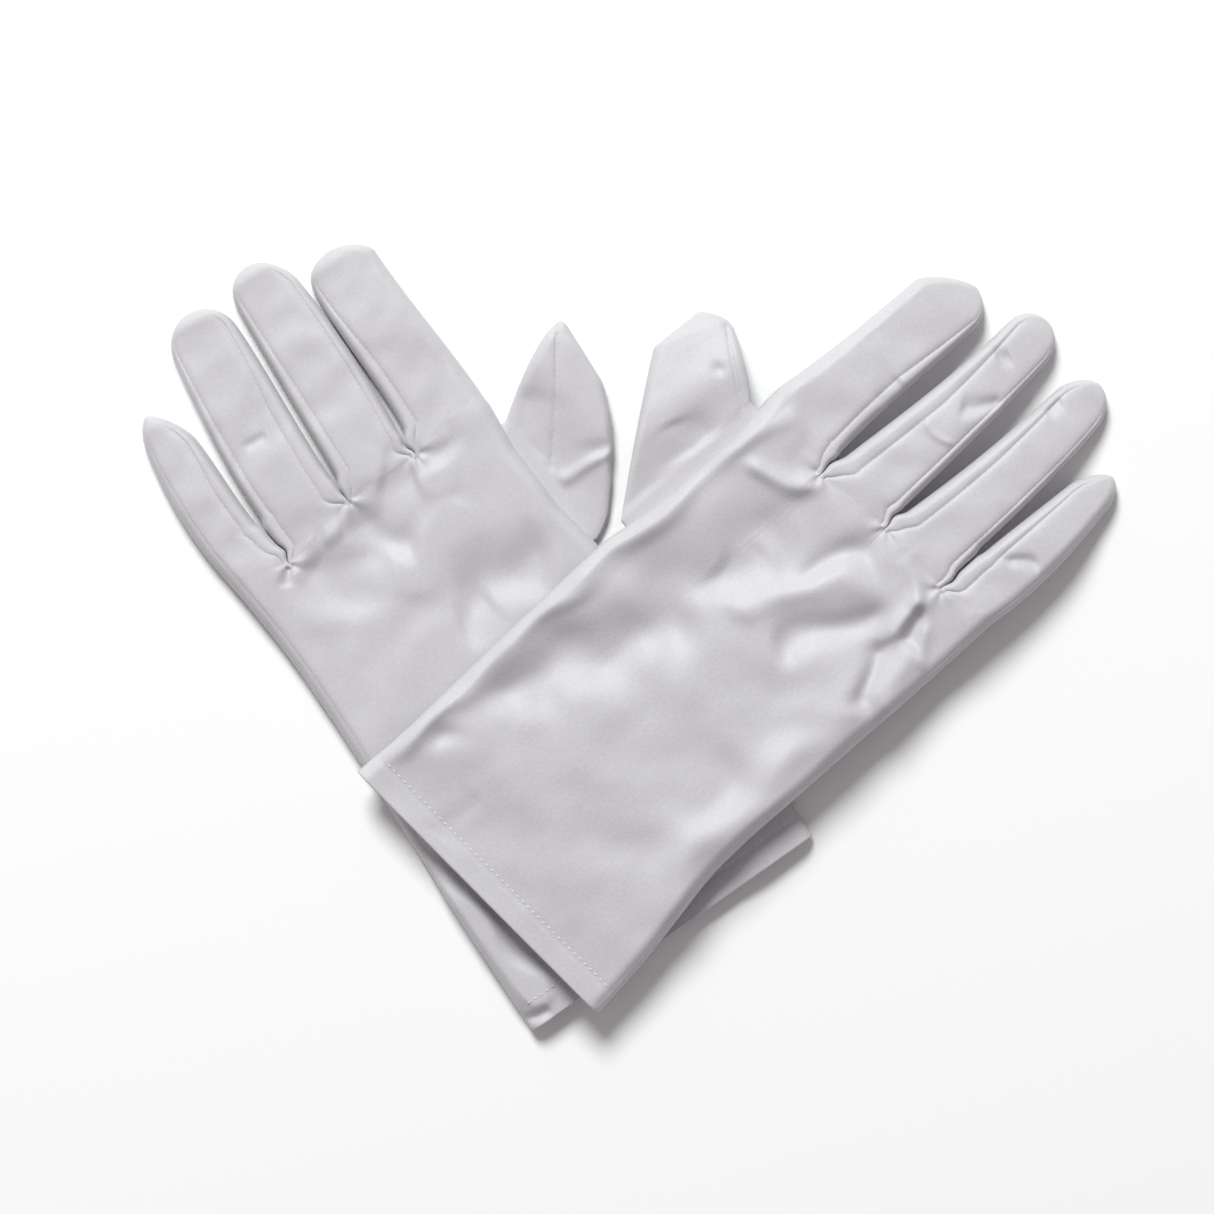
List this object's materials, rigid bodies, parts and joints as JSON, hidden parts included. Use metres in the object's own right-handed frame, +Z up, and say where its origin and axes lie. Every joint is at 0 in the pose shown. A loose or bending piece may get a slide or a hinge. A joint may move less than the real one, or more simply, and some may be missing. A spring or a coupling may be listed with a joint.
{
  "type": "pair of dress gloves",
  "caption": "Pair of plain wrist-length stretch-satin dress gloves lying flat, backs up, the right glove crossed over the left.",
  "frame": {"origin": "on the table under the middle of the pair", "axes": "+X to the right across both gloves, +Y towards the fingers and thumbs, +Z up from the table"},
  "size_m": [0.2868, 0.233, 0.0163],
  "materials": {
    "satin": "soft stretch satin knit, cool white, low sheen",
    "satin_side_strip": "the same stretch satin, knit running the other way",
    "sewing_thread": "matte white polyester thread"
  },
  "bodies": {
    "left_glove": {"left_hand": "satin", "left_hem": "satin", "left_hem_stitches": "sewing_thread", "left_side_seam": "satin_side_strip", "left_crotch_index_middle": "satin_side_strip", "left_crotch_middle_ring": "satin_side_strip", "left_crotch_ring_little": "satin_side_strip"},
    "left_index_digit": {"left_index_finger": "satin", "left_index_fourchette": "satin_side_strip", "left_index_seam_thread": "sewing_thread"},
    "left_middle_digit": {"left_middle_finger": "satin", "left_middle_fourchette_outer": "satin_side_strip", "left_middle_fourchette_inner": "satin_side_strip", "left_middle_seam_thread": "sewing_thread"},
    "left_ring_digit": {"left_ring_finger": "satin", "left_ring_fourchette_outer": "satin_side_strip", "left_ring_fourchette_inner": "satin_side_strip", "left_ring_seam_thread": "sewing_thread"},
    "left_little_digit": {"left_little_finger": "satin", "left_little_fourchette": "satin_side_strip", "left_little_seam_thread": "sewing_thread"},
    "left_thumb_digit": {"left_thumb": "satin", "left_thumb_seam_thread": "sewing_thread"},
    "right_glove": {"right_hand": "satin", "right_hem": "satin", "right_hem_stitches": "sewing_thread", "right_side_seam": "satin_side_strip", "right_crotch_index_middle": "satin_side_strip", "right_crotch_middle_ring": "satin_side_strip", "right_crotch_ring_little": "satin_side_strip"},
    "right_index_digit": {"right_index_finger": "satin", "right_index_fourchette": "satin_side_strip", "right_index_seam_thread": "sewing_thread"},
    "right_middle_digit": {"right_middle_finger": "satin", "right_middle_fourchette_outer": "satin_side_strip", "right_middle_fourchette_inner": "satin_side_strip", "right_middle_seam_thread": "sewing_thread"},
    "right_ring_digit": {"right_ring_finger": "satin", "right_ring_fourchette_outer": "satin_side_strip", "right_ring_fourchette_inner": "satin_side_strip", "right_ring_seam_thread": "sewing_thread"},
    "right_little_digit": {"right_little_finger": "satin", "right_little_fourchette": "satin_side_strip", "right_little_seam_thread": "sewing_thread"},
    "right_thumb_digit": {"right_thumb": "satin", "right_thumb_seam_thread": "sewing_thread"}
  },
  "joints": [
    {"name": "right_glove_lift", "type": "slide", "parent": "left_glove", "child": "right_glove", "axis": [0, 0, 1], "range_m": [0, 0.12]},
    {"name": "left_index_fold", "type": "hinge", "parent": "left_glove", "child": "left_index_digit", "pos_m": [-0.05439, 0.0649, 0.00765], "axis": [0.8282, 0.5604, 0], "range_deg": [0, 75]},
    {"name": "left_middle_fold", "type": "hinge", "parent": "left_glove", "child": "left_middle_digit", "pos_m": [-0.07642, 0.05217, 0.00765], "axis": [0.8445, 0.5355, 0], "range_deg": [0, 75]},
    {"name": "left_ring_fold", "type": "hinge", "parent": "left_glove", "child": "left_ring_digit", "pos_m": [-0.09329, 0.03306, 0.00765], "axis": [0.859, 0.5119, 0], "range_deg": [0, 75]},
    {"name": "left_little_fold", "type": "hinge", "parent": "left_glove", "child": "left_little_digit", "pos_m": [-0.11164, 0.02128, 0.00765], "axis": [0.8273, 0.5617, 0], "range_deg": [0, 75]},
    {"name": "left_thumb_fold", "type": "hinge", "parent": "left_glove", "child": "left_thumb_digit", "pos_m": [-0.0244, 0.04825, 0.00685], "axis": [0.6184, -0.7859, 0], "range_deg": [0, 75]},
    {"name": "right_index_fold", "type": "hinge", "parent": "right_glove", "child": "right_index_digit", "pos_m": [0.05207, 0.06241, 0.01605], "axis": [0.6529, -0.7574, 0], "range_deg": [0, 75]},
    {"name": "right_middle_fold", "type": "hinge", "parent": "right_glove", "child": "right_middle_digit", "pos_m": [0.06926, 0.04271, 0.01605], "axis": [0.679, -0.7342, 0], "range_deg": [0, 75]},
    {"name": "right_ring_fold", "type": "hinge", "parent": "right_glove", "child": "right_ring_digit", "pos_m": [0.08803, 0.02724, 0.01605], "axis": [0.677, -0.736, 0], "range_deg": [0, 75]},
    {"name": "right_little_fold", "type": "hinge", "parent": "right_glove", "child": "right_little_digit", "pos_m": [0.10076, 0.00999, 0.01605], "axis": [0.6693, -0.743, 0], "range_deg": [0, 75]},
    {"name": "right_thumb_fold", "type": "hinge", "parent": "right_glove", "child": "right_thumb_digit", "pos_m": [0.0166, 0.0501, 0.01525], "axis": [0.757, 0.6534, 0], "range_deg": [0, 75]}
  ]
}
